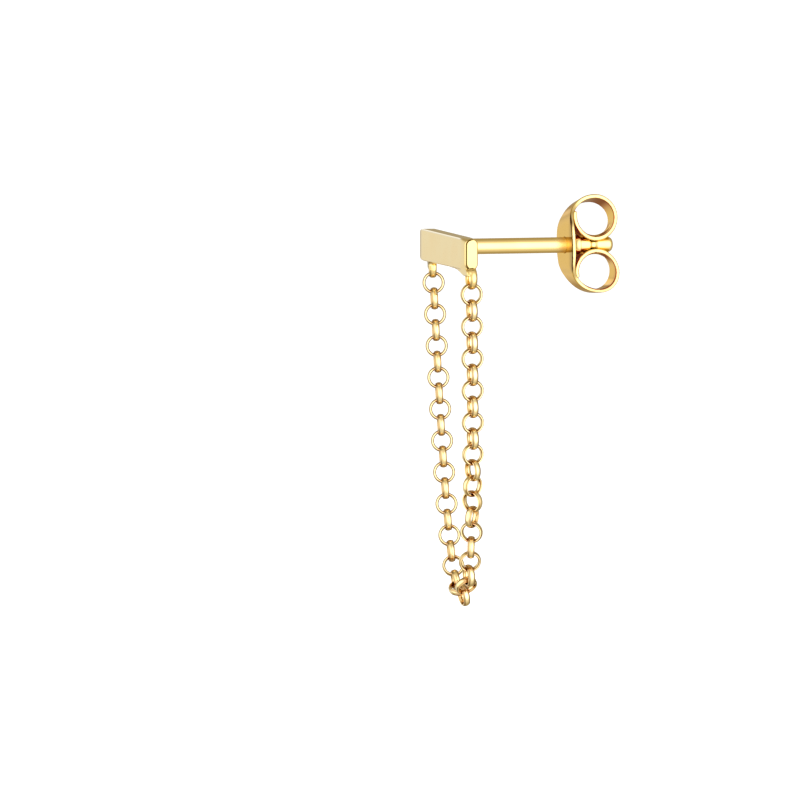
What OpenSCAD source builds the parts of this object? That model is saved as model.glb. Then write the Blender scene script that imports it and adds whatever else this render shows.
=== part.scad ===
// Bar stud earring with a looped rolo chain and a butterfly back, in millimetres.
// X runs along the bar, +Y along the post towards the back, +Z up.
// The origin is where the post leaves the back of the bar, which is where the earring sits on the ear.

/* [Bar] */
// Length of the front bar
bar_length = 10; // [8:0.1:12]
// Height of the front bar
bar_height = 1.76; // [1.6:0.02:1.9]
// Thickness of the front bar
bar_thickness = 0.7; // [0.65:0.05:0.8]
// How far the middle of the bar lies below the post
bar_drop = 0.16; // [0.06:0.02:0.2]
// Radius of the bar's four outline corners
bar_corner = 0.3; // [0.2:0.01:0.35]
// Radius of the polished edges round the faces
bar_edge = 0.1; // [0.05:0.01:0.14]

/* [Post] */
// Diameter of the post
post_diameter = 0.9; // [0.8:0.05:1]
// Length of the post behind the bar
post_length = 9.43; // [9.2:0.01:10]
// Radius of the rounded tip edge
post_tip = 0.2; // [0.1:0.02:0.3]
// Diameter left at the bottom of the friction groove
groove_waist = 0.54; // [0.5:0.02:0.7]
// Length of the friction groove along the post
groove_length = 0.5; // [0.3:0.05:0.6]
// Distance from the bar to the middle of the friction groove
groove_reach = 8.28; // [8.2:0.01:8.4]

/* [Butterfly back] */
// Thickness of the sheet it is bent from
sheet = 0.23; // [0.2:0.01:0.25]
// Outer radius of each curl
curl_radius = 1.26; // [1.2:0.02:1.3]
// Clear height between the two curls
curl_gap = 0.6; // [0.56:0.02:0.7]
// Distance from the bar to the middle of the curls
curl_reach = 8.33; // [8.3:0.01:8.36]
// Distance from the bar to the front of the plate
plate_reach = 6.53; // [6.5:0.01:6.55]
// Half width of the plate
plate_half_width = 1.59; // [1.5:0.01:1.7]
// Radius of the arcs that make the plate's sides
plate_side_radius = 2.74; // [2.6:0.02:3]
// Radius of the arcs that lead from the plate's sides into the ears
waist_radius = 1.2; // [1:0.05:1.3]
// Half width of the ears at the top of their curls
ear_half_width = 0.72; // [0.65:0.01:0.78]
// Half width of the ears' free ends
ear_tip_half_width = 0.56; // [0.5:0.01:0.6]
// Outer radius of the arc on which each ear runs to its free end
ear_end_radius = 1.3; // [1.26:0.01:1.31]
// Angle at which each free end stops, measured round that arc from straight back
ear_end_angle = 169; // [168:1:176]
// Length of the pressed collar that leads the post in behind the plate
collar_length = 0.65; // [0.5:0.05:0.65]
// Radius of the collar where it leaves the plate
collar_foot = 0.95; // [0.85:0.01:1]
// Radius of the collar at its end
collar_end = 0.56; // [0.55:0.01:0.58]
// How far the butterfly back is turned about the post
back_turn = -6.6; // [-10:0.2:10]

/* [Fit] */
// Radial gap between the post and the curls
curl_clearance = 0.03; // [0.02:0.01:0.05]
// Radial gap between the post and the hole in the plate
hole_clearance = 0.05; // [0.02:0.01:0.1]

/* [Chain] */
// Number of loose links, an even count
link_count = 42; // [42:2:44]
// Outer radius of a link
link_radius = 0.62; // [0.61:0.005:0.63]
// Thickness of a link's wire across the ring
link_wall = 0.145; // [0.13:0.005:0.15]
// Radius of the two arcs that make the wire's section
link_section_radius = 0.29; // [0.28:0.005:0.3]
// Distance between the middles of neighbouring links along the chain
link_pitch = 0.911; // [0.9:0.001:0.915]
// How far the loop swings towards the back
chain_swing = 1.9; // [0:0.1:3]
// How far the links of the far strand are rolled about the chain
far_roll = -12; // [-14:1:0]
// Link at which the chain starts to turn over
twist_from = 22; // [20:1:24]
// Link at which it has turned by a quarter turn
twist_to = 34; // [32:1:38]

/* [Soldered rings] */
// Place of the far ring along the bar
far_ring_x = -3.4; // [-3.6:0.02:-3.2]
// Drop of the far ring's middle below the post
far_ring_drop = 1.34; // [1.3:0.01:1.4]
// Place of the near ring along the bar
near_ring_x = 4.7; // [4.6:0.02:4.8]
// Drop of the near ring's middle below the post
near_ring_drop = 1.5; // [1.46:0.01:1.54]
// Distance from the back of the bar to the middle of the rings
ring_inset = 0.33; // [0.31:0.01:0.36]
// Thickness of the solder, measured through the bar
solder_thickness = 0.58; // [0.5:0.02:0.6]
// Length of the long run of solder beside the near ring
near_run = 2.4; // [1.5:0.1:2.6]
// Length of the short run of solder beside the far ring
far_run = 0.5; // [0.3:0.05:0.7]

/* [Hidden] */
function link_name(k) = str("link_", k < 10 ? "0" : "", k);
$fn = 72;
BITE = 0.08;
GOLD = "#e8bf6a";
PALE_GOLD = "#f2d48a";

bar_bottom = -bar_drop - bar_height / 2;
post_radius = post_diameter / 2;
curl_height = curl_gap / 2 + curl_radius;
curl_top = curl_height + curl_radius;
rise_radius = curl_reach - plate_reach;
rise_height = curl_top - rise_radius;
plate_back = plate_reach + sheet;
ring_y = -ring_inset;
// Height above the middle of a ring down to which its hole is filled with solder
solder_line = 0.3 * link_radius;

function unit(v) = v / norm(v);
function sinh(x) = (exp(x) - exp(-x)) / 2;
function cosh(x) = (exp(x) + exp(-x)) / 2;
function asinh(x) = ln(x + sqrt(x * x + 1));
function atanh(x) = ln((1 + x) / (1 - x)) / 2;
function smooth(x) = x * x * (3 - 2 * x);
function clamp01(x) = min(1, max(0, x));

// The radius of a circle that leaves a line at a tangent and is "rise" away from it after "run"
function arc_radius(run, rise) = (run * run + rise * rise) / (2 * rise);

// The loop hangs as a catenary between the two rings, z = low + a (cosh((x - mid) / a) - 1).
// Its shape factor is found by halving, because length and span give it no closed form.
chain_length = link_pitch * (link_count + 1);
chain_span = near_ring_x - far_ring_x;
chain_rise = far_ring_drop - near_ring_drop;
level_length = sqrt(chain_length * chain_length - chain_rise * chain_rise);
function halve(low, high, turns) = turns == 0
    ? (low + high) / 2
    : let (a = (low + high) / 2, longer = 2 * a * sinh(chain_span / (2 * a)) > level_length)
      halve(longer ? a : low, longer ? high : a, turns - 1);
chain_a = halve(chain_span / 100, 10 * chain_span, 60);
chain_mid = far_ring_x + chain_span / 2 - chain_a * atanh(chain_rise / chain_length);
chain_low = -far_ring_drop - chain_a * (cosh((far_ring_x - chain_mid) / chain_a) - 1);
chain_top = -(far_ring_drop + near_ring_drop) / 2;

// The place of link i if every link hung on the curve itself. Rings are links 0 and link_count + 1.
function on_curve(i) = let (
        s = chain_a * sinh((far_ring_x - chain_mid) / chain_a) + i * chain_length / (link_count + 1),
        x = chain_mid + chain_a * asinh(s / chain_a),
        z = chain_low + chain_a * (cosh((x - chain_mid) / chain_a) - 1))
    [x, ring_y + (chain_top - z) * tan(chain_swing), z];

// Even links hang on the curve and the odd ones between their neighbours, so the loop bends in the even ones
function link_place(i) = i % 2 == 0 || i > link_count
    ? on_curve(i)
    : (on_curve(i - 1) + on_curve(i + 1)) / 2;

// The link's axis, turned about the run of the chain: every second link is across the loop
function link_roll(i) = let (turned = smooth(clamp01((i - twist_from) / (twist_to - twist_from))))
    90 * (i % 2) + far_roll * (1 - turned) + 90 * turned;
function link_axis(i) = let (
        along = unit(link_place(i + 1) - link_place(i - 1)),
        across = unit(cross([0, 1, 0], along)),
        out = cross(along, across))
    cos(link_roll(i)) * out + sin(link_roll(i)) * across;

module rounded_rectangle(width, height, radius) {
    square([width - 2 * radius, height], center = true);
    square([width, height - 2 * radius], center = true);
    for (x = [-1, 1], y = [-1, 1])
        translate([x * (width / 2 - radius), y * (height / 2 - radius)]) circle(radius);
}

// Lays a drawing in X and Z upright and gives it a depth centred on y
module upright(depth, y) {
    translate([0, y + depth / 2, 0]) rotate([90, 0, 0]) linear_extrude(depth) children();
}

// Lays a drawing in Y and Z upright and gives it a width centred on X
module sideways(width) {
    translate([-width / 2, 0, 0]) rotate([90, 0, 90]) linear_extrude(width) children();
}

// The ring that both the loose links and the soldered ones are made of, with its axis on Z
module ring() {
    middle = link_radius - link_wall / 2;
    offset_in = link_section_radius - link_wall / 2;
    rotate_extrude() intersection() {
        translate([middle - offset_in, 0]) circle(link_section_radius);
        translate([middle + offset_in, 0]) circle(link_section_radius);
    }
}

module bar() {
    translate([0, -bar_thickness / 2, -bar_drop]) intersection() {
        upright(bar_thickness, 0) rounded_rectangle(bar_length, bar_height, bar_corner);
        sideways(bar_length) rounded_rectangle(bar_thickness, bar_height, bar_edge);
        translate([0, 0, -bar_height / 2]) linear_extrude(bar_height)
            rounded_rectangle(bar_length, bar_thickness, bar_edge);
    }
}

module post() {
    groove_depth = post_radius - groove_waist / 2;
    groove_radius = arc_radius(groove_length / 2, groove_depth);
    rotate([-90, 0, 0]) rotate_extrude() difference() {
        union() {
            translate([0, -BITE]) square([post_radius, post_length - post_tip + BITE]);
            square([post_radius - post_tip, post_length]);
            translate([post_radius - post_tip, post_length - post_tip]) circle(post_tip);
        }
        translate([groove_waist / 2 + groove_radius, groove_reach]) circle(groove_radius);
    }
}

// A ring under the bar, turned about its own upright and with the upper part of its hole filled with solder
module soldered_ring(ring_x, ring_drop, turn) {
    translate([ring_x, ring_y, -ring_drop]) rotate([90, 0, turn]) ring();
    upright(solder_thickness, ring_y) translate([ring_x, -ring_drop]) intersection() {
        circle(link_radius - link_wall / 4);
        translate([-link_radius, solder_line]) square([2 * link_radius, link_radius]);
    }
}

// Solder that leaves the underside of the bar at a tangent and runs down to the side of a ring
module solder_run(ring_x, ring_drop, run, side) {
    start = link_radius - link_wall / 2 + run;
    drop = ring_drop + bar_bottom - solder_line;
    radius = arc_radius(run, drop);
    upright(solder_thickness, ring_y) translate([ring_x, bar_bottom])
        mirror([side < 0 ? 1 : 0, 0]) difference() {
            translate([0, -drop]) square([start, drop + BITE]);
            translate([start, -radius]) circle(radius, $fn = 144);
        }
}

// The bar, its post and the two rings are soldered together and make one solid
module bar_stud() {
    color(PALE_GOLD) union() {
        bar();
        post();
        soldered_ring(far_ring_x, far_ring_drop, far_roll);
        solder_run(far_ring_x, far_ring_drop, far_run, -1);
        solder_run(far_ring_x, far_ring_drop, far_run, 1);
        soldered_ring(near_ring_x, near_ring_drop, 0);
        solder_run(near_ring_x, near_ring_drop, near_run, -1);
    }
}

// A bent strip seen from its edge: part of a ring between two angles, measured from straight back.
// The rest of the ring is cut away by a polygon whose corners lie well outside it.
module strip_arc(outer, from, to) {
    corners = 5;
    step = (from + 360 - to) / (corners - 1);
    difference() {
        circle(outer, $fn = 144);
        circle(outer - sheet, $fn = 144);
        polygon(concat([[0, 0]],
            [for (k = [0:corners - 1]) 2 * outer * [cos(to + k * step), sin(to + k * step)]]));
    }
}

// Plate and ears laid flat, seen from the front. An arc bulges out at each side of the plate, and from where
// it touches that one a smaller arc curves the other way, until the ear runs straight.
module leaf_outline() {
    inset = plate_side_radius - plate_half_width;
    centre = ear_half_width + waist_radius;
    height = sqrt(pow(plate_side_radius + waist_radius, 2) - pow(centre + inset, 2));
    touch = height * plate_side_radius / (plate_side_radius + waist_radius);
    touch_half_width = sqrt(pow(plate_side_radius, 2) - pow(touch, 2)) - inset;
    intersection() {
        translate([-inset, 0]) circle(plate_side_radius, $fn = 180);
        translate([inset, 0]) circle(plate_side_radius, $fn = 180);
        square([2 * plate_half_width, 2 * touch + 0.02], center = true);
    }
    difference() {
        square([2 * touch_half_width, 2 * height], center = true);
        for (x = [-centre, centre], z = [-height, height]) translate([x, z]) circle(waist_radius, $fn = 144);
    }
    square([2 * ear_half_width, 2 * curl_top], center = true);
}

// The plate is flat up to where the rise of an ear begins
module plate() {
    intersection() {
        upright(sheet, plate_reach + sheet / 2) leaf_outline();
        upright(sheet, plate_reach + sheet / 2) square([4 * plate_half_width, 2 * rise_height + 0.02], center = true);
    }
}

// The upper ear rises from the plate, goes back over the top, down its curl and on to a free end
module upper_ear() {
    intersection() {
        sideways(4 * plate_half_width) translate([curl_reach, rise_height]) strip_arc(rise_radius, 90, 180);
        upright(2 * rise_radius, plate_reach + rise_radius) leaf_outline();
    }
    intersection() {
        sideways(4 * ear_half_width) translate([curl_reach, curl_height]) strip_arc(curl_radius, -90, 90);
        upright(4 * curl_radius, curl_reach) polygon([
            [-ear_tip_half_width, curl_gap / 2], [ear_tip_half_width, curl_gap / 2],
            [ear_half_width, curl_top], [-ear_half_width, curl_top]]);
    }
    sideways(2 * ear_tip_half_width) translate([curl_reach, curl_gap / 2 + ear_end_radius])
        strip_arc(ear_end_radius, ear_end_angle - 360, -90);
}

// The hole's rim is pressed out into a collar, a cone that narrows towards the curls
module collar() {
    translate([0, plate_back - BITE, 0]) rotate([-90, 0, 0])
        cylinder(h = collar_length + BITE, r1 = collar_foot, r2 = collar_end);
}

// One strip of sheet: the plate with an ear curled over at each end, bored for the post
module butterfly_back() {
    color(GOLD) rotate([0, back_turn, 0]) difference() {
        union() {
            plate();
            collar();
            upper_ear();
            mirror([0, 0, 1]) upper_ear();
        }
        rotate([-90, 0, 0]) cylinder(h = 2 * curl_reach, r = post_radius + curl_clearance);
        rotate([-90, 0, 0]) cylinder(h = plate_back, r = post_radius + hole_clearance);
    }
}

module chain_link(i) {
    axis = link_axis(i);
    side = unit(cross(axis, link_place(i + 1) - link_place(i - 1)));
    front = cross(axis, side);
    place = link_place(i);
    color(GOLD) multmatrix([
        [side.x, front.x, axis.x, place.x],
        [side.y, front.y, axis.y, place.y],
        [side.z, front.z, axis.z, place.z],
        [0, 0, 0, 1]])
        ring();
}

bar_stud();
butterfly_back();
for (k = [1:link_count]) chain_link(k);
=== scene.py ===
import math

import bpy
import numpy as np
from mathutils import Matrix


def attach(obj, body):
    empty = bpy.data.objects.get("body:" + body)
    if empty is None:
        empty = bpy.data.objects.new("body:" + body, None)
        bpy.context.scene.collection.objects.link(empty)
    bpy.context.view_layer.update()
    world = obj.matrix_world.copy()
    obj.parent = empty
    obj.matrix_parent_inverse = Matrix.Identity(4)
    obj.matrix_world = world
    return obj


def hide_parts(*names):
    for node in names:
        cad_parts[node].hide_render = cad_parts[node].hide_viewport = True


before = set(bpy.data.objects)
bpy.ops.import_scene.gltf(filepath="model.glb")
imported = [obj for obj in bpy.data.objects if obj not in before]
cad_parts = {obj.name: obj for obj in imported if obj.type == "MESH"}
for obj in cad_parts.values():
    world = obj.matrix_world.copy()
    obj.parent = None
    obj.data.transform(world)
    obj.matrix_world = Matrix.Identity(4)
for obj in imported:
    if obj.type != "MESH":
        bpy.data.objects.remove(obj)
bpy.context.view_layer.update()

# The earring is worked out in millimetres and put into its meshes in metres. The main sizes are the part's
# own or close to them, and the others are its finish: edges, fillets and small leans.
MM = 0.001

# The front bar, and how far its middle lies below the post's. Its top rises evenly towards the far end.
bar_length = 10
bar_height = 1.76
bar_thickness = 0.8
bar_drop = 0.16
bar_rise = 0.13
bar_bottom = -bar_drop - bar_height / 2
# Its long edges, which grow rounder over a short run that starts before the near end
bar_edge = 0.14
near_edge = 0.36
near_edge_start = 1.2
near_edge_run = 1.1
# The near end: the edges round its flat, its corners, and how far and over what length the front bows back
near_front_edge = 0.19
near_back_edge = 0.15
near_corner = 0.1
near_bow = 0.05
near_bow_length = 0.9
# The far end: how much further it reaches, and its edges and corners, drawn out along the bar. A stretch is
# the share that their size across the bar is of their length along it.
far_reach = 0.03
far_end_edge = 0.22
far_end_stretch = 0.19
far_corner = 0.42
far_corner_stretch = 0.3
# How softly the bar's edges run into its corners
bar_soften = 0.04

# The ear post behind the bar, the rounding of its tip, and its friction groove with softened rims
post_radius = 0.45
post_length = 9.38
post_tip = 0.3
groove_waist = 0.74
groove_length = 0.42
groove_reach = 8.18
groove_soften = 0.05

# A link's wire is a lens of two arcs. Wall is its thickness across the ring. Its middle lies on a circle, and
# the arcs' centres lie offset from that. The tips of the lens are round, on loose links a little rounder.
link_radius = 0.645
link_wall = 0.185
link_section_radius = 0.31
link_middle = link_radius - link_wall / 2
link_offset = link_section_radius - link_wall / 2
link_tip = 0.05
ring_tip = 0.035

# The two end rings: X, Y and Z of the middle, and the turn about Z in degrees
far_ring = (-3.4, -0.34, -1.34, -12)
near_ring = (4.7, -0.33, -1.5, 0)
# Their solder: its front and back, seen from the ring's plane, and its lowest height
far_solder = (-0.26, 0.19, -1.5)
near_solder = (-0.38, 0.2, -1.38)
# How far the solder runs out under the bar, and to which side
far_runs = ((0.8, -1), (0.12, 1))
near_runs = ((2.4, -1),)
# The solder's edge, how softly its parts meet, how deep it goes into the bar, and the fillet of each joint
solder_edge = 0.1
solder_soften = 0.08
solder_depth = 0.1
post_fillet = 0.1
solder_fillet = 0.1
ring_fillet = 0.07

# The butterfly back: its sheet, the round of its cut sides, and the two curls with the gap between them
sheet = 0.23
sheet_edge = 0.08
curl_radius = 1.28
curl_gap = 0.44
curl_height = curl_gap / 2 + curl_radius
curl_reach = 8.31
# The free end of a curl goes on as a slightly wider arc, to an angle in degrees
ear_end_radius = 1.34
ear_end_angle = 171
# The plate: where its front is, and the half width and the circles of its outline. Ears narrow to their tip.
plate_reach = 6.53
plate_half_width = 1.59
plate_side_radius = 2.74
waist_radius = 1.2
ear_half_width = 0.72
ear_tip_half_width = 0.56
ear_rise_radius = curl_reach - plate_reach
# The pressed collar behind the plate: its length, its radius where it starts and where it ends, how soft its
# ends are and the fillet to the plate
collar_length = 0.65
collar_foot = 1.05
collar_end = 0.54
collar_soften = 0.08
collar_fillet = 0.15
# The hole in the plate, and the channel that lets the post through the curls. Over the channel the sheet of
# the curls is lifted until a thin floor of it is left. The lift grows over a distance below their middle.
plate_hole_radius = post_radius + 0.015
plate_hole_soften = 0.02
channel_radius = post_radius + 0.03
channel_soften = 0.03
channel_floor = 0.07
lift_distance = 0.9
lift_soften = 0.1
# How the back sits on the post: its turn in degrees, which changes with the distance from the post, its lean
# towards the bar, and the skew of its curls, which starts over a short height
turn_at_post = -0.5
turn_per_mm = -3
back_lean = 0.012
curl_skew = 0.08
curl_skew_start = 0.8


def arc_radius(run, rise):
    """Radius of the circle that leaves a line at a tangent and is rise away from it after run."""
    return (run * run + rise * rise) / (2 * rise)


def ease(t):
    """Goes from 0 to 1 with level ends: three times t squared less twice t cubed, t kept between 0 and 1."""
    t = np.clip(t, 0, 1)
    return t * t * (3 - 2 * t)


def past(value, start, run):
    """A mask that eases from 0 at start to 1 a run further, which is downwards if the run is below nought."""
    return ease((value - start) / run)


# Forms are given as fields: below nought inside a form, nought on its surface, above nought outside.
def fillet_join(a, b, size):
    """Both forms soldered together: the lower of the two fields, less a parabola where they differ by less
    than size."""
    near = np.maximum(size - np.abs(a - b), 0) / size
    return np.minimum(a, b) - near * near * size / 4


def soft_cut(a, b, size):
    """What two forms share, its edge polished over: the higher of the two fields, plus the same parabola."""
    return -fillet_join(-a, -b, size)


def rounded_cross(a, b, edge):
    """What two forms share where their faces meet squarely, with a quarter circle of radius edge between."""
    a = a + edge
    b = b + edge
    outside = np.hypot(np.maximum(a, 0), np.maximum(b, 0))
    return outside + np.minimum(np.maximum(a, b), 0) - edge


def bar_field(x, y, z):
    """The front bar: a rectangle seen from its end, with polished edges that grow rounder towards the near
    end, crossed with the bar's length. The front bows back a little before the near end, by the square of how
    far along the bow it is, and meets that end with a small edge. At the far end the faces and the corners
    seen from the front run into the end by quarter ellipses, longer along the bar. The top rises evenly
    towards the far end."""
    growing = ease((x - bar_length / 2 + near_edge_start) / near_edge_run)
    edge = bar_edge + (near_edge - bar_edge) * growing
    bow = near_bow * np.clip((x - bar_length / 2) / near_bow_length + 1, 0, 1) ** 2
    rise = bar_rise * (0.5 - x / bar_length)
    near = x > 0
    end_edge = np.where(near, np.where(y < -bar_thickness / 2, near_front_edge, near_back_edge), far_end_edge)
    x = np.abs(x) - bar_length / 2 - np.where(near, 0, far_reach)
    y = np.maximum(-y - bar_thickness + bow, y)
    z = np.abs(z + bar_drop - rise / 2) - (bar_height + rise) / 2
    edged = rounded_cross(rounded_cross(y, z, edge), np.where(near, 1, far_end_stretch) * x, end_edge)
    corner = np.where(near, near_corner, far_corner)
    corners = rounded_cross(np.where(near, 1, far_corner_stretch) * x, z, corner)
    return soft_cut(edged, corners, bar_soften)


def post_field(x, y, z):
    """The ear post: distance from the Y axis less the radius, its tip rounded, less a ring-shaped groove."""
    from_axis = np.hypot(x, z)
    start = -bar_thickness / 2
    middle = (post_length + start) / 2
    rod = rounded_cross(from_axis - post_radius, np.abs(y - middle) - (post_length - start) / 2, post_tip)
    groove_radius = arc_radius(groove_length / 2, post_radius - groove_waist / 2)
    groove = np.hypot(from_axis - groove_waist / 2 - groove_radius, y - groove_reach) - groove_radius
    return soft_cut(rod, -groove, groove_soften)


def wire_field(out, along, tip_radius):
    """The wire's section: the lens of two equal arcs, drawn in by the radius of its round tips and let out by
    it again. Out is measured from the middle of the wire, away from the ring's middle, and along is measured
    along the ring's axis."""
    out = np.abs(out)
    along = np.abs(along)
    radius = link_section_radius - tip_radius
    tip = math.sqrt(radius**2 - link_offset**2)
    beside_tip = (along - tip) * link_offset > out * tip
    lens = np.where(beside_tip, np.hypot(out, along - tip), np.hypot(out + link_offset, along) - radius)
    return lens - tip_radius


def on_ring(x, y, z, ring):
    """A place seen from the middle of an end ring: across the ring, along its axis and up. The axis is Y
    turned about Z by the ring's angle."""
    turn = math.radians(ring[3])
    across = (x - ring[0]) * math.cos(turn) + (y - ring[1]) * math.sin(turn)
    along = (y - ring[1]) * math.cos(turn) - (x - ring[0]) * math.sin(turn)
    return across, along, z - ring[2]


def ring_field(across, along, rise):
    """A soldered end ring: the wire's section carried round a circle."""
    return wire_field(np.hypot(across, rise) - link_middle, along, ring_tip)


def solder_field(across, along, rise, ceiling, solder, runs):
    """Solder of one ring, between a front, a back and a lowest height. A disc fills the upper part of the
    ring's hole, and for each run a wedge under the bar is hollowed by a circle that leaves the bar's
    underside, the ceiling, at a tangent."""
    front, behind, floor = solder
    flat = soft_cut(np.hypot(across, rise) - link_middle, floor - rise, solder_soften)
    for run, side in runs:
        start = link_middle + run
        hollow_radius = arc_radius(run, ceiling - floor)
        beside = side * across
        hollow = hollow_radius - np.hypot(beside - start, rise - ceiling + hollow_radius)
        wedge = soft_cut(hollow, floor - rise, solder_soften)
        wedge = np.maximum(wedge, np.maximum(beside - start, -beside))
        flat = np.minimum(flat, wedge)
    flat = np.maximum(flat, rise - ceiling - solder_depth)
    return rounded_cross(flat, np.abs(along - (front + behind) / 2) - (behind - front) / 2, solder_edge)


def stud_field(x, y, z):
    """Bar, post, solder and rings as one form, each joined to the rest with a small fillet."""
    metal = fillet_join(bar_field(x, y, z), post_field(x, y, z), post_fillet)
    for ring, solder, runs in ((far_ring, far_solder, far_runs), (near_ring, near_solder, near_runs)):
        seen = on_ring(x, y, z, ring)
        low = (solder[0], solder[1], solder[2] - ring[2])
        metal = fillet_join(metal, solder_field(*seen, bar_bottom - ring[2], low, runs), solder_fillet)
        metal = fillet_join(metal, ring_field(*seen), ring_fillet)
    return metal


def arc_band(y, z, centre, radius, start, end):
    """A strip of sheet seen from its edge: distance from an arc between two angles, less half the sheet.
    Past its ends, the distance is from the end itself."""
    radius = radius - sheet / 2
    middle = (start + end) / 2
    angle = np.degrees(np.arctan2(z - centre[1], y - centre[0]))
    angle = middle + (angle - middle + 180) % 360 - 180
    held = np.clip(angle, start, end)
    turn = np.radians(held)
    off_end = np.hypot(y - centre[0] - radius * np.cos(turn), z - centre[1] - radius * np.sin(turn))
    on_arc = np.abs(np.hypot(y - centre[0], z - centre[1]) - radius)
    return np.where(held == angle, on_arc, off_end) - sheet / 2


def leaf_half_width(z):
    """Half width of plate and ear at a height: a circle that bulges out at the plate, and from where it
    touches it a smaller one that curves the other way, until the ear runs straight."""
    inset = plate_side_radius - plate_half_width
    centre = ear_half_width + waist_radius
    height = math.sqrt((plate_side_radius + waist_radius) ** 2 - (centre + inset) ** 2)
    touch = height * plate_side_radius / (plate_side_radius + waist_radius)
    plate = np.sqrt(plate_side_radius**2 - np.minimum(z, touch) ** 2) - inset
    waist = centre - np.sqrt(waist_radius**2 - np.clip(height - z, 0, waist_radius) ** 2)
    return np.where(z < touch, plate, waist)


def collar_field(x, y, z):
    """The plate's pressed collar: distance from the Y axis less a radius that falls from its foot with the
    cube of what is left of its length. It starts in the middle of the plate's sheet."""
    behind = y - plate_reach - sheet
    left = np.clip(1 - behind / collar_length, 0, 1)
    radius = collar_end + (collar_foot - collar_end) * left**3
    steep = 1 / np.hypot(1, 3 * (collar_foot - collar_end) / collar_length * left**2)
    ends = np.abs(behind - collar_length / 2 + sheet / 4) - collar_length / 2 - sheet / 4
    return soft_cut((np.hypot(x, z) - radius) * steep, ends, collar_soften)


def leaf_field(x, y, z):
    """Plate and rising ear: a straight strip, then an arc that carries it to the top of the curl, crossed
    with the leaf's width, joined to the collar and bored for the post."""
    rise_height = curl_height + curl_radius - ear_rise_radius
    past_flat = np.maximum(z - rise_height, 0)
    flat = np.hypot(past_flat, y - plate_reach - sheet / 2) - sheet / 2
    rising = arc_band(y, z, (curl_reach, rise_height), ear_rise_radius, 90, 180)
    leaf = rounded_cross(np.minimum(flat, rising), x - leaf_half_width(z), sheet_edge)
    leaf = fillet_join(leaf, collar_field(x, y, z), collar_fillet)
    return soft_cut(leaf, plate_hole_radius - np.hypot(x, z), plate_hole_soften)


def curl_field(x, y, z):
    """A curl: a half circle of sheet whose width falls evenly to the ear's tip, and the slightly wider arc of
    its free end. Near the post the sheet is lifted, and the channel is cut through it."""
    lift = np.sqrt(np.maximum(channel_radius**2 - x**2, 0)) - curl_gap / 2 - sheet + channel_floor
    lift = soft_cut(lift, 0 * lift, lift_soften)
    lowered = z - lift * ease((curl_height - z) / lift_distance)
    top = curl_height + curl_radius
    share = np.clip((z - curl_gap / 2) / (top - curl_gap / 2), 0, 1)
    width = ear_tip_half_width + (ear_half_width - ear_tip_half_width) * share
    round_top = arc_band(y, lowered, (curl_reach, curl_height), curl_radius, -90, 90)
    curl = rounded_cross(round_top, x - width, sheet_edge)
    end_centre = (curl_reach, curl_gap / 2 + ear_end_radius)
    free_end = arc_band(y, lowered, end_centre, ear_end_radius, ear_end_angle - 360, -90)
    end = rounded_cross(free_end, x - ear_tip_half_width, sheet_edge)
    return soft_cut(np.minimum(curl, end), channel_radius - np.hypot(x, z), channel_soften)


def back_field(x, y, z):
    """The butterfly back as one strip of sheet: leaf and curl, the same above and below the post. It is
    turned about the post by an angle that grows evenly with the distance from it, its top leans a little
    towards the bar, and the curls lean towards each other on the far side, by a share of X."""
    turn = np.radians(turn_at_post + turn_per_mm * np.hypot(x, z))
    x, z = x * np.cos(turn) - z * np.sin(turn), x * np.sin(turn) + z * np.cos(turn)
    y = y + back_lean * z
    skew = curl_skew * x
    x = np.abs(x)
    z = np.abs(z)
    z = z - skew * ease(z / curl_skew_start)
    return np.minimum(leaf_field(x, y, z), curl_field(x, y, z))


# How a field is made into a closed surface. Points are settled onto it in a few rounds, and where a field is
# hardly sloped at all, its steepness counts as at least this much.
settling_rounds = 4
least_steepness = 0.05


def steps(*stops):
    """Grid lines along one axis: from each stop to the next in even steps of about the size that is given."""
    lines = [np.array([stops[0]], float)]
    for size, end in zip(stops[1::2], stops[2::2]):
        begin = lines[-1][-1]
        count = max(1, round((end - begin) / size))
        lines.append(begin + (end - begin) * np.arange(1, count + 1) / count)
    return np.concatenate(lines)


def slope(field, points, reach=0.002):
    """The field's slope at each point, from its values a little to either side along X, Y and Z."""
    slopes = np.empty_like(points)
    for axis in range(3):
        step = np.zeros(3)
        step[axis] = reach
        ahead = points + step
        behind = points - step
        slopes[:, axis] = (field(*ahead.T) - field(*behind.T)) / (2 * reach)
    return slopes


def cell_points(value, lines):
    """One point for each grid cell that the surface crosses, the mean of the crossings on the cell's edges.
    Returns the points and, for every cell, its point's number."""
    cells = tuple(n - 1 for n in value.shape)
    total = np.zeros(cells + (3,))
    count = np.zeros(cells)
    for axis in range(3):
        others = [a for a in range(3) if a != axis]
        low = np.moveaxis(value, axis, 0)[:-1]
        high = np.moveaxis(value, axis, 0)[1:]
        crossed = (low < 0) != (high < 0)
        part = np.where(crossed, low / np.where(crossed, low - high, 1), 0)
        place = lines[axis][:-1, None, None] + part * np.diff(lines[axis])[:, None, None]
        rows = low.shape[1] - 1
        columns = low.shape[2] - 1
        for first in (0, 1):
            for second in (0, 1):
                pick = (slice(None), slice(first, first + rows), slice(second, second + columns))
                here = crossed[pick]
                point = np.zeros(here.shape + (3,))
                point[..., axis] = place[pick]
                point[..., others[0]] = lines[others[0]][first : first + rows][None, :, None]
                point[..., others[1]] = lines[others[1]][second : second + columns][None, None, :]
                total += np.moveaxis(point * here[..., None], 0, axis)
                count += np.moveaxis(here, 0, axis)
    active = count > 0
    number = np.full(cells, -1)
    number[active] = np.arange(np.count_nonzero(active))
    return total[active] / count[active][:, None], number


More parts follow.
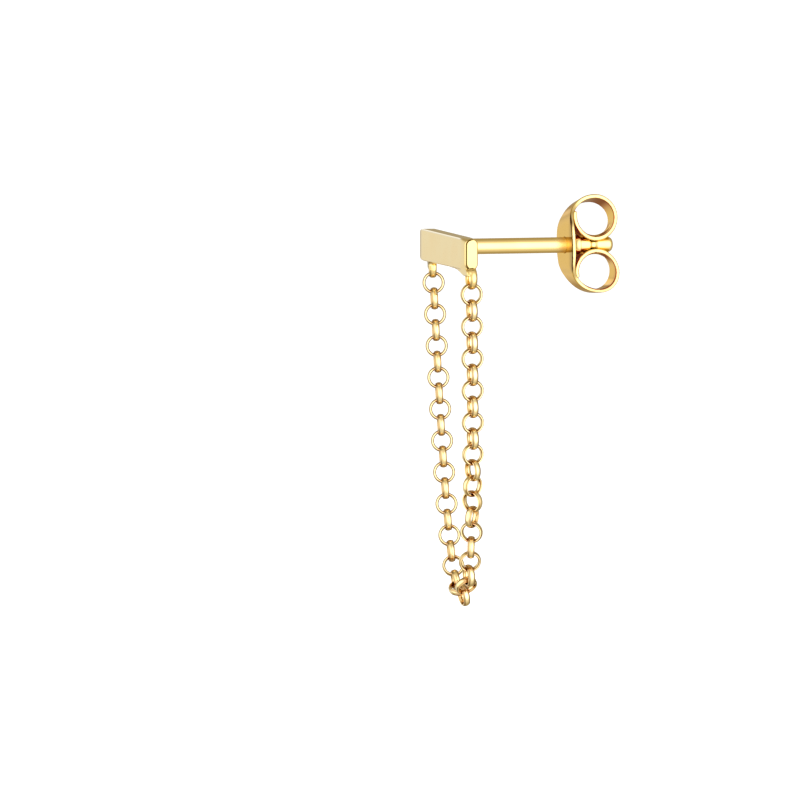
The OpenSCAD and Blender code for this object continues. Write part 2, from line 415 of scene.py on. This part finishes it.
def cell_faces(inside, number):
    """One four-sided face for each grid edge that the surface crosses, between the four cells round it."""
    faces = []
    for axis in range(3):
        order = (axis, (axis + 1) % 3, (axis + 2) % 3)
        turned = np.moveaxis(inside, order, (0, 1, 2))
        cell = np.moveaxis(number, order, (0, 1, 2))
        crossed = (turned[:-1] != turned[1:])[:, 1:-1, 1:-1]
        corners = np.stack([cell[:, :-1, :-1], cell[:, 1:, :-1], cell[:, 1:, 1:], cell[:, :-1, 1:]], axis=-1)
        quads = corners[crossed]
        outward = turned[:-1, 1:-1, 1:-1][crossed]
        quads[~outward] = quads[~outward][:, ::-1]
        faces.append(quads)
    return np.concatenate(faces)


def skin(field, xs, ys, zs):
    """A closed skin where the field is nought, from the grid's cell points and faces. The points are moved
    along the field's slope until they lie on the surface, and the slope there gives the normals."""
    value = field(*np.meshgrid(xs, ys, zs, indexing="ij"))
    points, number = cell_points(value, (xs, ys, zs))
    for settling in range(settling_rounds):
        slopes = slope(field, points)
        steepness = np.maximum((slopes**2).sum(axis=1), least_steepness)
        points = points - slopes * (field(*points.T) / steepness)[:, None]
    normals = slope(field, points)
    normals /= np.linalg.norm(normals, axis=1)[:, None]
    return points, cell_faces(value < 0, number), normals


def piece(name, points, faces, normals, material, body, nodes):
    """Puts a surface into a mesh, smooth with its own normals, and ties it to the frame."""
    mesh = bpy.data.meshes.new(name)
    mesh.from_pydata(points * MM, [], faces)
    mesh.shade_smooth()
    mesh.normals_split_custom_set_from_vertices(normals)
    mesh.materials.append(material)
    thing = bpy.data.objects.new(name, mesh)
    bpy.context.scene.collection.objects.link(thing)
    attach(thing, body)
    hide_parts(*nodes)
    return thing


def shade(thing, attribute, values):
    """Gives a piece a mask, one value from 0 to 1 for each of its points."""
    layer = thing.data.attributes.new(attribute, "FLOAT", "POINT")
    layer.data.foreach_set("value", np.clip(values, 0, 1).astype(np.float32))


# The plating's noise, in waves to a metre: polishing marks, the slow swell under them, and patches of haze
# and of tone. Then how much higher the swell is than the marks, the marks' height in metres, and how much
# roughness full wear adds.
mark_scale = 9000
swell_scale = 900
haze_scale = 1400
tone_scale = 700
swell_share = 3
mark_height = 0.00001
wear_roughness = 0.5


def named_group(name, inputs, outputs):
    """An empty shader node group with the sockets named in inputs, {name: (type, value)}, and in outputs,
    {name: type}."""
    group = bpy.data.node_groups.new(name, "ShaderNodeTree")
    for label, (kind, value) in inputs.items():
        socket = group.interface.new_socket(name=label, in_out="INPUT", socket_type=kind)
        socket.default_value = value
    for label, kind in outputs.items():
        group.interface.new_socket(name=label, in_out="OUTPUT", socket_type=kind)
    return group, group.nodes.new("NodeGroupInput"), group.nodes.new("NodeGroupOutput")


def node(tree, kind, inputs=None, **settings):
    """A shader node with its settings, and its inputs linked to a socket or set to a value."""
    made = tree.nodes.new(kind)
    for key, value in settings.items():
        setattr(made, key, value)
    for key, value in (inputs or {}).items():
        if isinstance(value, bpy.types.NodeSocket):
            tree.links.new(value, made.inputs[key])
        else:
            made.inputs[key].default_value = value
    return made


def laid_over(tree, mask, under, over):
    """One colour laid over another, as far as the mask says."""
    mix = node(tree, "ShaderNodeMix", {0: mask, 6: under, 7: over}, data_type="RGBA")
    return mix.outputs[2]


def make_polish_marks():
    """Polishing marks. Fine noise is stretched along the buffing direction and added to a slow swell, and
    both give a height. The roughness is a base value plus a share of a haze that comes and goes over the
    piece."""
    group, given, result = named_group(
        "polish_marks",
        {
            "Vector": ("NodeSocketVector", (0, 0, 0)),
            "Marks per metre": ("NodeSocketFloat", mark_scale),
            "Stretch": ("NodeSocketVector", (0.15, 1, 1)),
            "Base roughness": ("NodeSocketFloat", 0.06),
            "Haze": ("NodeSocketFloat", 0.05),
        },
        {"Height": "NodeSocketFloat", "Roughness": "NodeSocketFloat"},
    )
    place = given.outputs["Vector"]
    along = node(
        group, "ShaderNodeVectorMath", {0: place, 1: given.outputs["Stretch"]}, operation="MULTIPLY"
    )
    fine = node(
        group,
        "ShaderNodeTexNoise",
        {
            "Vector": along.outputs[0],
            "Scale": given.outputs["Marks per metre"],
            "Detail": 3,
            "Roughness": 0.6,
        },
    )
    swell = node(group, "ShaderNodeTexNoise", {"Vector": place, "Scale": swell_scale, "Detail": 1})
    haze = node(group, "ShaderNodeTexNoise", {"Vector": place, "Scale": haze_scale, "Detail": 3})
    height = node(
        group,
        "ShaderNodeMath",
        {0: swell.outputs["Fac"], 1: swell_share, 2: fine.outputs["Fac"]},
        operation="MULTIPLY_ADD",
    )
    patch = node(
        group, "ShaderNodeMapRange", {"Value": haze.outputs["Fac"], "From Min": 0.45, "From Max": 0.7}
    )
    rough = node(
        group,
        "ShaderNodeMath",
        {0: patch.outputs["Result"], 1: given.outputs["Haze"], 2: given.outputs["Base roughness"]},
        operation="MULTIPLY_ADD",
    )
    group.links.new(height.outputs[0], result.inputs["Height"])
    group.links.new(rough.outputs[0], result.inputs["Roughness"])
    return group


def make_plating_tone():
    """The plating's tone. Two golds are mixed by slow noise. Over them lie, each by its own mask, the gold
    of a painted reflection, the red gold of painted shade deep between two parts, and the dark gold of
    painted shade along edges and joints."""
    # The last three colours paint light and shade by their masks: a reflection, a red shade, a dark shade
    group, given, result = named_group(
        "plating_tone",
        {
            "Vector": ("NodeSocketVector", (0, 0, 0)),
            "Gold": ("NodeSocketColor", (1, 0.77, 0.33, 1)),
            "Paler gold": ("NodeSocketColor", (1, 0.8, 0.38, 1)),
            "Painted reflection gold": ("NodeSocketColor", (1, 0.66, 0.24, 1)),
            "Painted reflection mask": ("NodeSocketFloat", 0),
            "Painted red shade": ("NodeSocketColor", (0.4, 0.015, 0.002, 1)),
            "Painted red shade mask": ("NodeSocketFloat", 0),
            "Painted dark shade": ("NodeSocketColor", (0.03, 0.012, 0.001, 1)),
            "Painted dark shade mask": ("NodeSocketFloat", 0),
        },
        {"Color": "NodeSocketColor"},
    )
    cloud = node(
        group,
        "ShaderNodeTexNoise",
        {"Vector": given.outputs["Vector"], "Scale": tone_scale, "Detail": 2},
    )
    share = node(
        group, "ShaderNodeMapRange", {"Value": cloud.outputs["Fac"], "From Min": 0.35, "From Max": 0.65}
    )
    colour = given.outputs["Gold"]
    for mask, other in (
        (share.outputs["Result"], "Paler gold"),
        (given.outputs["Painted reflection mask"], "Painted reflection gold"),
        (given.outputs["Painted red shade mask"], "Painted red shade"),
        (given.outputs["Painted dark shade mask"], "Painted dark shade"),
    ):
        colour = laid_over(group, mask, colour, given.outputs[other])
    group.links.new(colour, result.inputs["Color"])
    return group


polish_marks = make_polish_marks()
plating_tone = make_plating_tone()


def gold(name, stretch, rough, haze, bump, tones):
    """Polished gold plating: full metal, its tone and roughness from the two groups, its marks as fine bump.
    The three masks of painted reflection, painted red shade and painted dark shade, and worn, which
    makes a place duller, are the piece's own attributes."""
    material = bpy.data.materials.new(name)
    material.use_nodes = True
    tree = material.node_tree
    shader = tree.nodes["Principled BSDF"]
    place = node(tree, "ShaderNodeTexCoord").outputs["Object"]
    marks = node(
        tree,
        "ShaderNodeGroup",
        {"Vector": place, "Stretch": stretch, "Base roughness": rough, "Haze": haze},
        node_tree=polish_marks,
    )
    tone = node(tree, "ShaderNodeGroup", {"Vector": place}, node_tree=plating_tone)
    for label, colour in tones.items():
        tone.inputs[label].default_value = colour + (1,)
    # These three attributes paint light and shade: a reflection, a red shade and a dark shade
    for label, attribute in (("Painted reflection mask", "face"), ("Painted red shade mask", "deep"), ("Painted dark shade mask", "painted_dark_shade")):
        mask = node(tree, "ShaderNodeAttribute", attribute_name=attribute)
        tree.links.new(mask.outputs["Fac"], tone.inputs[label])
    worn = node(tree, "ShaderNodeAttribute", attribute_name="worn")
    dull = node(
        tree,
        "ShaderNodeMath",
        {0: worn.outputs["Fac"], 1: wear_roughness, 2: marks.outputs["Roughness"]},
        operation="MULTIPLY_ADD",
    )
    relief = node(
        tree,
        "ShaderNodeBump",
        {"Height": marks.outputs["Height"], "Strength": bump, "Distance": mark_height},
    )
    tree.links.new(tone.outputs["Color"], shader.inputs["Base Color"])
    tree.links.new(dull.outputs[0], shader.inputs["Roughness"])
    tree.links.new(relief.outputs["Normal"], shader.inputs["Normal"])
    shader.inputs["Metallic"].default_value = 1
    return material


# Bar and post are buffed along the bar, the back along the post, and the tumbled links every way.
stud_gold = gold(
    "stud_gold",
    stretch=(0.2, 1, 1),
    rough=0.05,
    haze=0.03,
    bump=0.05,
    tones={
        "Gold": (1, 0.76, 0.32),
        "Paler gold": (1, 0.79, 0.36),
        # A paler gold painted on as a highlight, and a dark gold painted on as shade
        "Painted reflection gold": (1, 0.92, 0.72),
        "Painted dark shade": (0.1, 0.05, 0.002),
    },
)
back_gold = gold(
    "back_gold",
    stretch=(1, 0.2, 1),
    rough=0.07,
    haze=0.04,
    bump=0.08,
    tones={
        "Gold": (1, 0.77, 0.33),
        "Paler gold": (1, 0.79, 0.36),
        # A deeper gold painted on the faces as reflection, and a dark gold painted on as shade
        "Painted reflection gold": (0.89, 0.57, 0.09),
        "Painted dark shade": (0.05, 0.012, 0.001),
    },
)
chain_gold = gold(
    "chain_gold",
    stretch=(1, 1, 1),
    rough=0.06,
    haze=0.04,
    bump=0.06,
    tones={
        "Gold": (1, 0.81, 0.42),
        "Paler gold": (1, 0.84, 0.48),
        # A red gold painted on as shade where links touch, and a dark gold painted on as shade
        "Painted red shade": (0.55, 0.09, 0.01),
        "Painted dark shade": (0.26, 0.11, 0.012),
    },
)
# What the back reflects at a glancing angle keeps some of its gold.
back_gold.node_tree.nodes["Principled BSDF"].inputs["Specular Tint"].default_value = (1, 0.9, 0.8, 1)


# How dark the painted shade is, from 0 to 1: the stud's groove, the flat of its near end, the solder
# of the far ring under the bar, the front's far end, the wire of the end rings, and that of the loose links
groove_dark = 0.3
near_flat_dark = 0.2
solder_dark = 0.7
far_front_dark = 0.16
ring_dark = 0.5
link_dark = 0.75
# How dull the post has worn where the back is pushed on
post_worn = 0.55

# A zone is where a mask starts and the run over which it grows to full, downwards where the run is below
# nought. These are for places on the stud: along the bar, in height, away from the middle of a ring, away
# from the middle of the groove in lengths of the groove, and along the post.
near_end_zone = (bar_length / 2 - 0.7, 0.2)
pale_edge_zone = (bar_length / 2 - 0.6, -0.5)
far_front_zone = (1.1 - bar_length / 2, -1.1)
top_zone = (0.4 - bar_drop, 0.2)
bar_foot_zone = (bar_bottom - 0.025, 0.05)
solder_top_zone = (bar_bottom + 0.03, -0.04)
solder_foot_zone = (bar_bottom - 0.18, 0.08)
hanging_zone = (bar_bottom - 0.15, -0.1)
beside_solder_zone = (0.7, -0.1)
beside_ring_zone = (0.7, -0.05)
groove_zone = (0.75, -0.5)
worn_start_zone = (5.6, 0.6)
worn_end_zone = (7.3, -0.7)
# These are for directions, by what part of a normal looks one way: towards the near end for its flat and
# line, towards the ear for the line's back, the groove and the front, up times forwards for the top edge, and
# along a ring's axis for the tips of its wire.
flat_facing = (0.97, 0.02)
line_facing = (0.6, 0.08)
line_end_facing = (0.97, -0.04)
line_back_facing = (0.2, -1 / 6)
groove_facing = (-0.15, -0.25)
front_facing = (0, -0.5)
top_edge_facing = (0.15, 0.25)
tip_facing = (0.24, 0.2)
tip_end_facing = (0.88, -0.2)

# The stud's grid lines, close together where the form is small and further apart along bar and post
close = 0.035
bar_wide = 0.11
post_wide = 0.25
tip_wide = 0.1
stud_x_stops = (-5.16, close, -2.25, bar_wide, -0.5, close, 0.5, bar_wide, 2.05, close, 5.37)
stud_y_stops = (-0.87, close, 0.15, post_wide, 7.9, close, 8.6, tip_wide, 9.15, close, 9.5)
stud_z_stops = (-2.195, close, 0.94)


def beside_tips(lean):
    """How much painted shade the wire of a ring gets, for how far its surface leans along the ring's
    axis. The painted shade is darkest beside the wire's two round tips."""
    return past(lean, *tip_facing) * past(lean, *tip_end_facing)


def stud_painted_shade(points, normals):
    """The stud's painted dark shade: the near end's flat and a line where its rounded edge meets it, the
    groove's side that looks at the bar, the far ring's solder right under the bar, the front's far end,
    and the wire of the end rings. The masks of place and of direction are multiplied, and the darkest
    counts."""
    along, depth, height = points.T
    to_near = normals[:, 0]
    to_ear = normals[:, 1]
    near_end = past(along, *near_end_zone) * past(height, *bar_foot_zone)
    line = past(to_near, *line_facing) * past(to_near, *line_end_facing) * past(to_ear, *line_back_facing)
    flat = past(to_near, *flat_facing)
    off_groove = np.abs(depth - groove_reach) / groove_length
    in_groove = past(off_groove, *groove_zone) * past(to_ear, *groove_facing)
    under_bar = past(height, *solder_top_zone) * past(height, *solder_foot_zone)
    at_solder = past(np.abs(along - far_ring[0]), *beside_solder_zone)
    far_front = past(along, *far_front_zone) * past(to_ear, *front_facing)
    painted_dark_shade = np.maximum(near_end * line, groove_dark * in_groove)
    painted_dark_shade = np.maximum(painted_dark_shade, near_flat_dark * near_end * flat)
    painted_dark_shade = np.maximum(painted_dark_shade, solder_dark * under_bar * at_solder)
    painted_dark_shade = np.maximum(painted_dark_shade, far_front_dark * far_front)
    for ring in (far_ring, near_ring):
        turn = math.radians(ring[3])
        lean = np.abs(to_ear * math.cos(turn) - to_near * math.sin(turn))
        hangs = past(np.abs(along - ring[0]), *beside_ring_zone) * past(height, *hanging_zone)
        painted_dark_shade = np.maximum(painted_dark_shade, ring_dark * hangs * beside_tips(lean))
    return painted_dark_shade


def make_stud():
    """The stud with its painted dark shade, its worn stretch of post and a painted highlight: a paler
    gold along the top front edge of the bar, where normals look up and forwards in equal parts."""
    grid = (steps(*stud_x_stops), steps(*stud_y_stops), steps(*stud_z_stops))
    points, faces, normals = skin(stud_field, *grid)
    stud = piece("stud", points, faces, normals, stud_gold, "stud", ["bar_stud"])
    along, depth, height = points.T
    # Painted light on the stud: a paler gold as a highlight along the top front edge, and dark shade
    top_edge = past(normals[:, 2] * -normals[:, 1], *top_edge_facing)
    pale = past(height, *top_zone) * past(along, *pale_edge_zone) * top_edge
    shade(stud, "painted_dark_shade", stud_painted_shade(points, normals))
    shade(stud, "worn", post_worn * past(depth, *worn_start_zone) * past(depth, *worn_end_zone))
    shade(stud, "face", pale)


# The back's grid, which reaches a little past it on every side
back_step = 0.04
back_x_stops = (-1.66, back_step, 1.66)
back_y_stops = (6.44, back_step, 9.68)
back_z_stops = (-3, back_step, 3)

# How strong the painted red shade is inside the curls by the near side and along the edges, and how
# dark the painted shade is along the edges, towards the plate's near side, and where its front turns up
# or down
near_curl_red_shade = 0.25
edge_red_shade = 0.85
edge_dark = 0.12
near_plate_dark = 0.6
turned_dark = 0.2

# The back's zones. For the wedge between plate and curls they are distances from the post's axis and then
# from the plate's back. For the collar they are distances from its surface and from the middle height.
wedge_zone = (2, -0.8)
bore_zone = (post_radius + 0.02, 0.1)
wedge_front_zone = (-0.03, 0.06)
wedge_back_zone = (1.3, -0.6)
collar_zone = (0.075, -0.03)
collar_side_zone = (0.4, 0.08)
# The inside of a curl is measured from the curl's middle, and starts at a place along the post. The plate's
# front is a place along the post, the near sides are places across the back, and the edges begin at a
# distance from the post's axis.
inside_zone = (curl_radius - sheet / 2 + 0.03, -0.06)
inside_start = plate_reach + 0.4
front_zone = (plate_reach + sheet / 2 + 0.05, -0.1)
near_curl_zone = (0.3, 0.4)
near_plate_zone = (0.7, 0.9)
edge_zone = (post_radius + 0.1, 0.1)
# The back's directions go by what part of a normal looks to the side: little on the faces and in the wedge,
# and more on the edges. The last goes by forwards times away from the middle height.
face_facing = (2 / 3, -1 / 3)
away_facing = (11 / 15, -2 / 3)
edge_facing = (0.02, 0.2)
edge_end_facing = (0.96, -0.12)
turned_facing = (0.15, 0.25)


def back_wedge(points, normals):
    """The deep place between plate and curls round the post, on the collar and on what is turned away from
    the side: the mask of a painted red shade there."""
    from_post = np.hypot(points[:, 0], points[:, 2])
    behind_plate = points[:, 1] - plate_reach - sheet
    wedge = past(behind_plate, *wedge_front_zone) * past(behind_plate, *wedge_back_zone)
    wedge = wedge * past(from_post, *wedge_zone) * past(from_post, *bore_zone)
    on_collar = past(np.abs(collar_field(*points.T)), *collar_zone)
    on_collar = on_collar * past(np.abs(points[:, 2]), *collar_side_zone)
    return wedge * np.maximum(past(np.abs(normals[:, 0]), *away_facing), on_collar)


def make_back():
    """The butterfly back. Its faces are painted a deeper gold than its cut sides, as a painted reflection,
    and a painted red shade lies deep in the wedge and inside the curls, by the near side and along the
    edges. Painted dark shade runs along the edges, and on the plate's front towards the near side and
    where it turns up or down."""
    grid = (steps(*back_x_stops), steps(*back_y_stops), steps(*back_z_stops))
    points, faces, normals = skin(back_field, *grid)
    back = piece("back", points, faces, normals, back_gold, "back", ["butterfly_back"])
    side, depth, height = points.T
    side_on = np.abs(normals[:, 0])
    on_face = past(side_on, *face_facing)
    edge_line = past(side_on, *edge_facing) * past(side_on, *edge_end_facing)
    edge_line = edge_line * past(np.hypot(side, height), *edge_zone)
    wedge = back_wedge(points, normals)
    from_curl = np.hypot(depth - curl_reach, np.abs(height) - curl_height)
    inside = past(from_curl, *inside_zone) * (depth > inside_start)
    inside = inside * np.maximum(near_curl_red_shade * past(side, *near_curl_zone), edge_red_shade * edge_line)
    turned = past(-normals[:, 2] * normals[:, 1] * np.sign(height), *turned_facing)
    front = np.maximum(near_plate_dark * past(side, *near_plate_zone), turned_dark * turned) * on_face
    front = past(depth, *front_zone) * np.maximum(front, edge_line)
    # Painted light: faces a deeper gold as reflection, red shade deep inside, dark shade on edges and front
    shade(back, "face", on_face)
    shade(back, "deep", np.maximum(wedge, inside))
    shade(back, "worn", wedge)
    shade(back, "painted_dark_shade", np.maximum(edge_dark * edge_line, front))


# Points on each arc of a link's section, points across a tip with both its ends, and stops round the link
arc_points = 8
tip_points = 6
link_stops = 72
# Where a link touches a neighbour and painted red shade lies, by the cosine of the angle from it, how
# far the wire's surface looks towards the ring's middle where the shade is strongest, and the share of
# the painted shade that is left elsewhere
touch_zone = (0.78, 0.17)
inside_facing = (3 / 13, -10 / 13)
least_touch_shade = 0.35


def wire_section():
    """The wire's outline as points and outward directions, the lens drawn in by the radius of its tips and
    let out again: for an outward direction on one of the arcs the point lies on that arc, otherwise on a
    round tip. Also how much painted shade the wire gets at each point."""
    radius = link_section_radius - link_tip
    tip = math.sqrt(radius**2 - link_offset**2)
    edge = math.atan2(tip, link_offset)
    arc = np.linspace(-edge, edge, arc_points)
    point = np.linspace(edge, math.pi - edge, tip_points)[1:-1]
    facing = np.concatenate([arc, point, arc + math.pi, point + math.pi])
    out = np.cos(facing)
    along = np.sin(facing)
    on_arc = np.abs(along) <= math.sin(edge) + 1e-9
    across = np.where(on_arc, np.sign(out) * -link_offset + radius * out, 0)
    level = np.where(on_arc, radius * along, np.sign(along) * tip)
    outline = np.stack([across + link_tip * out, level + link_tip * along], 1)
    return outline, np.stack([out, along], 1), link_dark * beside_tips(np.abs(along))


def closed_faces(rows, columns):
    """Four-sided faces over a grid of points that is closed both ways."""
    row = np.arange(rows)[:, None]
    column = np.arange(columns)[None, :]
    next_row = (row + 1) % rows
    next_column = (column + 1) % columns
    corners = [(row, column), (next_row, column), (next_row, next_column), (row, next_column)]
    return np.stack([r * columns + c for r, c in corners], axis=-1).reshape(-1, 4)


def link_from(node_name):
    """A link's centre, axis and two directions in its plane, from its CAD solid: the axis is the direction in
    which the solid's points spread least, and the centre the middle of their extents."""
    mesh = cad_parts[node_name].data
    spots = np.empty(len(mesh.vertices) * 3)
    mesh.vertices.foreach_get("co", spots)
    spots = spots.reshape(-1, 3) / MM
    middle = spots.mean(axis=0)
    turn = np.linalg.svd(spots - middle, full_matrices=False)[2]
    turn[1] = np.cross(turn[2], turn[0])
    placed = (spots - middle) @ turn.T
    centre = middle + ((placed.max(axis=0) + placed.min(axis=0)) / 2) @ turn
    return centre, turn


def make_link(node_name, centre, turn, neighbours):
    """A loose link: the wire's section carried round a circle in the link's plane. A painted red shade lies
    where it touches its two neighbours, most on the inside of the ring, and painted dark shade beside its
    wire's tips."""
    section, outward, dark = wire_section()
    around = np.arange(link_stops) * 2 * math.pi / link_stops
    radial = np.cos(around)[:, None] * turn[0] + np.sin(around)[:, None] * turn[1]
    far = (link_middle + section[:, 0])[None, :, None]
    points = centre + radial[:, None, :] * far + section[None, :, 1, None] * turn[2]
    normals = radial[:, None, :] * outward[None, :, 0, None] + outward[None, :, 1, None] * turn[2]
    link = piece(
        node_name.replace("link", "chain_link"),
        points.reshape(-1, 3),
        closed_faces(link_stops, len(section)),
        normals.reshape(-1, 3),
        chain_gold,
        "stud",
        [node_name],
    )
    # Painted shade: red where the link touches its neighbours, dark along the wire beside its tips
    touch_shade = np.zeros(link_stops)
    for neighbour in neighbours:
        way = (neighbour - centre) / np.linalg.norm(neighbour - centre)
        touch_shade = np.maximum(touch_shade, past(radial @ way, *touch_zone))
    on_inside = np.maximum(past(outward[:, 0], *inside_facing), least_touch_shade)
    shade(link, "painted_dark_shade", np.tile(dark, link_stops))
    shade(link, "deep", (touch_shade[:, None] * on_inside).reshape(-1))


def make_chain():
    """All loose links, each where its CAD solid is, between the far ring and the near ring."""
    names = sorted(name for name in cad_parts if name.startswith("link_"))
    placed = [link_from(name) for name in names]
    centres = [np.array(far_ring[:3])] + [centre for centre, turn in placed] + [np.array(near_ring[:3])]
    for number, (name, (centre, turn)) in enumerate(zip(names, placed)):
        make_link(name, centre, turn, (centres[number], centres[number + 2]))


make_stud()
make_back()
make_chain()

# The camera: degrees round from the front towards the near end and degrees up, its distance, and the middle
# of its view, right and up from the origin. Lens and film are in millimetres, clipping is in metres.
camera_side = 75
camera_rise = 5.16
camera_distance = 270
view_right = -3.086
view_up = -8.714
film_width = 36
lens_length = 213.8
clip_near = 0.01
clip_far = 30


def place_camera():
    """The camera at the photograph's viewing angle, level, on the line through the middle of its view."""
    side = math.radians(camera_side)
    rise = math.radians(camera_rise)
    right = np.array([math.cos(side), math.sin(side), 0])
    towards = np.array(
        [math.sin(side) * math.cos(rise), -math.cos(side) * math.cos(rise), math.sin(rise)]
    )
    up = np.cross(towards, right)
    place = (view_right * right + view_up * up + camera_distance * towards) * MM
    camera = bpy.data.objects.new("camera", bpy.data.cameras.new("camera"))
    bpy.context.scene.collection.objects.link(camera)
    camera.data.sensor_width = film_width
    camera.data.lens = lens_length
    camera.data.clip_start = clip_near
    camera.data.clip_end = clip_far
    turned = np.eye(4)
    turned[:3] = np.stack([right, up, towards, place], axis=1)
    camera.matrix_world = Matrix(turned)
    bpy.context.scene.camera = camera


# The floor and the light above it, in metres and watts
floor_height = -0.045
floor_half_width = 3
floor_tone = (0.9, 0.9, 0.9, 1)
light_width = 0.3
light_power = 1.2
light_place = (0.05, -0.05, 0.4)


def make_floor():
    """A plain pale floor, matt, which the gold doesn't mirror."""
    mesh = bpy.data.meshes.new("floor")
    corners = [(-1, -1), (1, -1), (1, 1), (-1, 1)]
    spots = [(x * floor_half_width, y * floor_half_width, floor_height) for x, y in corners]
    mesh.from_pydata(spots, [], [(0, 1, 2, 3)])
    floor = bpy.data.objects.new("floor", mesh)
    bpy.context.scene.collection.objects.link(floor)
    paint = bpy.data.materials.new("floor_paint")
    paint.use_nodes = True
    shader = paint.node_tree.nodes["Principled BSDF"]
    shader.inputs["Base Color"].default_value = floor_tone
    shader.inputs["Roughness"].default_value = 1
    shader.inputs["Specular IOR Level"].default_value = 0
    mesh.materials.append(paint)
    floor.visible_glossy = False


def make_top_light():
    """One soft round light overhead, unseen in the gold."""
    light = bpy.data.objects.new("top_light", bpy.data.lights.new("top_light", "AREA"))
    bpy.context.scene.collection.objects.link(light)
    light.data.shape = "DISK"
    light.data.size = light_width
    light.data.energy = light_power
    light.location = light_place
    light.visible_glossy = False
    light.visible_camera = False


# The light tent round the earring: its own dim tone, and the soft round cards in it, each laid over those
# before it. A card has the direction of its middle, degrees round from +X and degrees up, then the degrees
# from there within which it is full and past which it is gone, and its colour.
tent_tone = (0.42, 0.35, 0.22, 1)
cards = (
    (0, 0, 45, 110, (0.95, 0.88, 0.78, 1)),
    (-146, -8, 20, 40, (0.83, 0.83, 0.83, 1)),
    (-176, 15, 4, 11, (1.05, 1.02, 0.95, 1)),
    (-75, 10, 28, 56, (1.7, 1.65, 1.6, 1)),
    (15, 4, 8, 56, (2.3, 2.25, 2.2, 1)),
)
backdrop_tone = (1, 1, 1, 1)
backdrop_strength = 1.2


def pointing(side, rise):
    """The direction that is side degrees round from +X and rise degrees up, as X, Y and Z."""
    side = math.radians(side)
    rise = math.radians(rise)
    return (math.cos(side) * math.cos(rise), math.sin(side) * math.cos(rise), math.sin(rise))


def soft_card(tree, direction, side, rise, inner, outer):
    """The mask of a round card: full within inner degrees of its middle, and eased to nothing at outer."""
    facing = node(
        tree, "ShaderNodeVectorMath", {0: direction, 1: pointing(side, rise)}, operation="DOT_PRODUCT"
    )
    mask = node(
        tree,
        "ShaderNodeMapRange",
        {
            "Value": facing.outputs["Value"],
            "From Min": math.cos(math.radians(outer)),
            "From Max": math.cos(math.radians(inner)),
        },
        interpolation_type="SMOOTHSTEP",
    )
    return mask.outputs["Result"]


def make_light_tent():
    """The studio's surroundings: the tent with its cards in the gold's reflections, plain white elsewhere."""
    world = bpy.data.worlds.new("studio")
    bpy.context.scene.world = world
    world.use_nodes = True
    tree = world.node_tree
    tree.nodes.clear()
    direction = node(tree, "ShaderNodeTexCoord").outputs["Generated"]
    tent = tent_tone
    for side, rise, inner, outer, colour in cards:
        tent = laid_over(tree, soft_card(tree, direction, side, rise, inner, outer), tent, colour)
    mirrored = node(tree, "ShaderNodeLightPath").outputs["Is Glossy Ray"]
    lit = node(tree, "ShaderNodeBackground", {"Color": tent, "Strength": 1})
    white = node(tree, "ShaderNodeBackground", {"Color": backdrop_tone, "Strength": backdrop_strength})
    both = node(tree, "ShaderNodeMixShader", {0: mirrored, 1: white.outputs[0], 2: lit.outputs[0]})
    node(tree, "ShaderNodeOutputWorld", {"Surface": both.outputs[0]})


place_camera()
make_floor()
make_top_light()
make_light_tent()
bpy.context.scene.view_settings.view_transform = "Standard"
